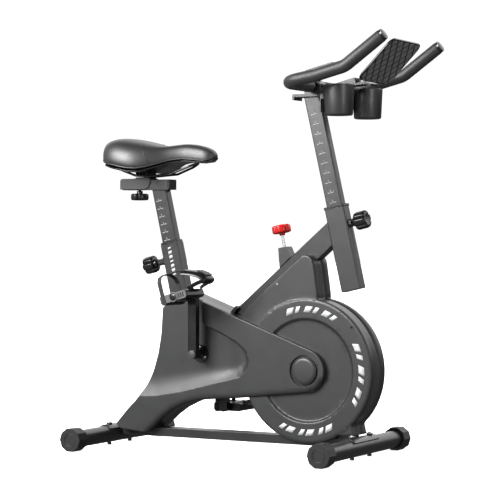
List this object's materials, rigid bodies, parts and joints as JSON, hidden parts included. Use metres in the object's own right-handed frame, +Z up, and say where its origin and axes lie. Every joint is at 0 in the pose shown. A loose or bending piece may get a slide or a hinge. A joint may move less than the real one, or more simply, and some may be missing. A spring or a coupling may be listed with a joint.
{
  "type": "exercise bike",
  "caption": "Indoor cycling bike with belt-driven flywheel under moulded covers, sliding saddle and handlebar posts, toe-cage pedals, cup holders and tablet tray.",
  "frame": {"origin": "on the floor, under the middle of the whole bike", "axes": "+X forwards, towards the handlebar; +Y to the rider's left; +Z up"},
  "size_m": [0.9898, 0.52, 1.1562],
  "materials": {
    "frame_paint": "satin dark grey powder coat",
    "shell_plastic": "smooth satin dark grey moulding",
    "black_plastic": "fine grained black",
    "cup_plastic": "glossy black",
    "cap_rubber": "dull dark grey",
    "foam": "fine textured dense foam",
    "vinyl": "black vinyl with a soft sheen",
    "zinc_steel": "bright zinc plate",
    "black_steel": "gloss black",
    "iron": "machined and lacquered",
    "belt_rubber": "ribbed",
    "felt": "pressed felt",
    "red_plastic": "bright red"
  },
  "bodies": {
    "frame": {"rear_stabiliser": "frame_paint", "rear_mount_plate": "frame_paint", "rear_end_cap_right": "cap_rubber", "rear_end_cap_left": "cap_rubber", "front_stabiliser": "frame_paint", "front_mount_plate": "frame_paint", "front_end_cap_right": "cap_rubber", "front_end_cap_left": "cap_rubber", "base_rail": "frame_paint", "main_tube": "frame_paint", "rear_leg": "frame_paint", "seat_tube": "frame_paint", "head_tube": "frame_paint", "seat_tube_bush": "black_plastic", "head_tube_bush": "black_plastic", "bottom_bracket_bearing": "zinc_steel", "fork_plate_right": "frame_paint", "fork_plate_left": "frame_paint", "resistance_housing": "shell_plastic", "side_cover_right": "shell_plastic", "side_cover_left": "shell_plastic", "flywheel_shroud_right": "shell_plastic", "flywheel_shroud_left": "shell_plastic", "drive_belt": "belt_rubber"},
    "flywheel": {"flywheel": "iron", "flywheel_axle": "zinc_steel"},
    "crank": {"crank_axle": "zinc_steel", "crank_arm_right": "black_steel", "crank_arm_left": "black_steel", "drive_pulley": "black_plastic"},
    "pedal_right": {"pedal_body_right": "black_plastic", "toe_cage_right": "black_plastic", "toe_strap_right": "cap_rubber"},
    "pedal_left": {"pedal_body_left": "black_plastic", "toe_cage_left": "black_plastic", "toe_strap_left": "cap_rubber"},
    "seat_post": {"seat_post": "frame_paint", "slider_end_cap": "black_plastic"},
    "saddle_carriage": {"saddle_carriage": "shell_plastic"},
    "saddle": {"saddle_cushion": "vinyl", "saddle_base": "black_plastic", "saddle_rails": "black_steel"},
    "slider_knob": {"slider_knob": "black_plastic"},
    "seat_height_knob": {"seat_height_knob": "black_plastic"},
    "bar_height_knob": {"bar_height_knob": "black_plastic"},
    "handlebar": {"handlebar_post": "frame_paint", "stem_clamp_cap": "black_plastic", "handlebar_tube": "zinc_steel", "foam_grip_right": "foam", "foam_grip_left": "foam", "accessory_carrier": "black_steel", "cup_holder_right": "cup_plastic", "cup_holder_left": "cup_plastic", "tablet_tray": "cap_rubber", "console": "black_plastic"},
    "console_button": {"console_button": "red_plastic"},
    "brake_plunger": {"resistance_rod": "zinc_steel"},
    "resistance_knob": {"resistance_knob": "red_plastic"},
    "brake_shoe": {"brake_shoe": "black_steel", "brake_pad": "felt"}
  },
  "joints": [
    {"name": "flywheel_spin", "type": "hinge", "parent": "frame", "child": "flywheel", "pos_m": [0.18231, 0, 0.239], "axis": [0, 1, 0], "continuous": true},
    {"name": "crank_spin", "type": "hinge", "parent": "frame", "child": "crank", "pos_m": [-0.15369, 0, 0.277], "axis": [0, 1, 0], "continuous": true},
    {"name": "pedal_right_spin", "type": "hinge", "parent": "crank", "child": "pedal_right", "pos_m": [-0.15369, -0.15, 0.442], "axis": [0, 1, 0], "continuous": true},
    {"name": "pedal_left_spin", "type": "hinge", "parent": "crank", "child": "pedal_left", "pos_m": [-0.15369, 0.15, 0.112], "axis": [0, 1, 0], "continuous": true},
    {"name": "seat_height", "type": "slide", "parent": "frame", "child": "seat_post", "axis": [-0.225, 0, 0.9744], "range_m": [-0.13, 0.06]},
    {"name": "seat_fore_aft", "type": "slide", "parent": "seat_post", "child": "saddle_carriage", "axis": [1, 0, 0], "range_m": [-0.03, 0.022]},
    {"name": "saddle_tilt", "type": "hinge", "parent": "saddle_carriage", "child": "saddle", "pos_m": [-0.36869, 0, 0.7906], "axis": [0, 1, 0], "range_deg": [-8, 4]},
    {"name": "slider_knob_turn", "type": "hinge", "parent": "saddle_carriage", "child": "slider_knob", "pos_m": [-0.38969, 0, 0.74], "axis": [0, 0, 1], "range_deg": [-720, 0]},
    {"name": "seat_height_pull", "type": "slide", "parent": "frame", "child": "seat_height_knob", "axis": [-0.9744, 0, -0.225], "range_m": [0, 0.01], "stiffness_N_per_m": 1500, "springref_m": -0.004},
    {"name": "bar_height_pull", "type": "slide", "parent": "frame", "child": "bar_height_knob", "axis": [0.9744, 0, 0.225], "range_m": [0, 0.01], "stiffness_N_per_m": 1500, "springref_m": -0.004},
    {"name": "handlebar_height", "type": "slide", "parent": "frame", "child": "handlebar", "axis": [-0.225, 0, 0.9744], "range_m": [-0.12, 0.04]},
    {"name": "console_button_press", "type": "slide", "parent": "handlebar", "child": "console_button", "axis": [0.225, 0, -0.9744], "range_m": [0, 0.001], "stiffness_N_per_m": 600, "springref_m": -0.001},
    {"name": "brake_press", "type": "slide", "parent": "frame", "child": "brake_plunger", "axis": [0.1908, 0, -0.9816], "range_m": [0, 0.0035], "stiffness_N_per_m": 3000, "springref_m": -0.004},
    {"name": "resistance_turn", "type": "hinge", "parent": "brake_plunger", "child": "resistance_knob", "pos_m": [0.09131, 0, 0.581], "axis": [0.1908, 0, -0.9816], "range_deg": [0, 1440]},
    {"name": "brake_shoe_feed", "type": "slide", "parent": "brake_plunger", "child": "brake_shoe", "axis": [0.1908, 0, -0.9816], "range_m": [0, 0.005]}
  ],
  "couplings": [
    {"joint": "crank_spin", "follows": "flywheel_spin", "ratio": 0.28571},
    {"joint": "brake_shoe_feed", "follows": "resistance_turn", "m_per_rad": 0.00019894}
  ]
}
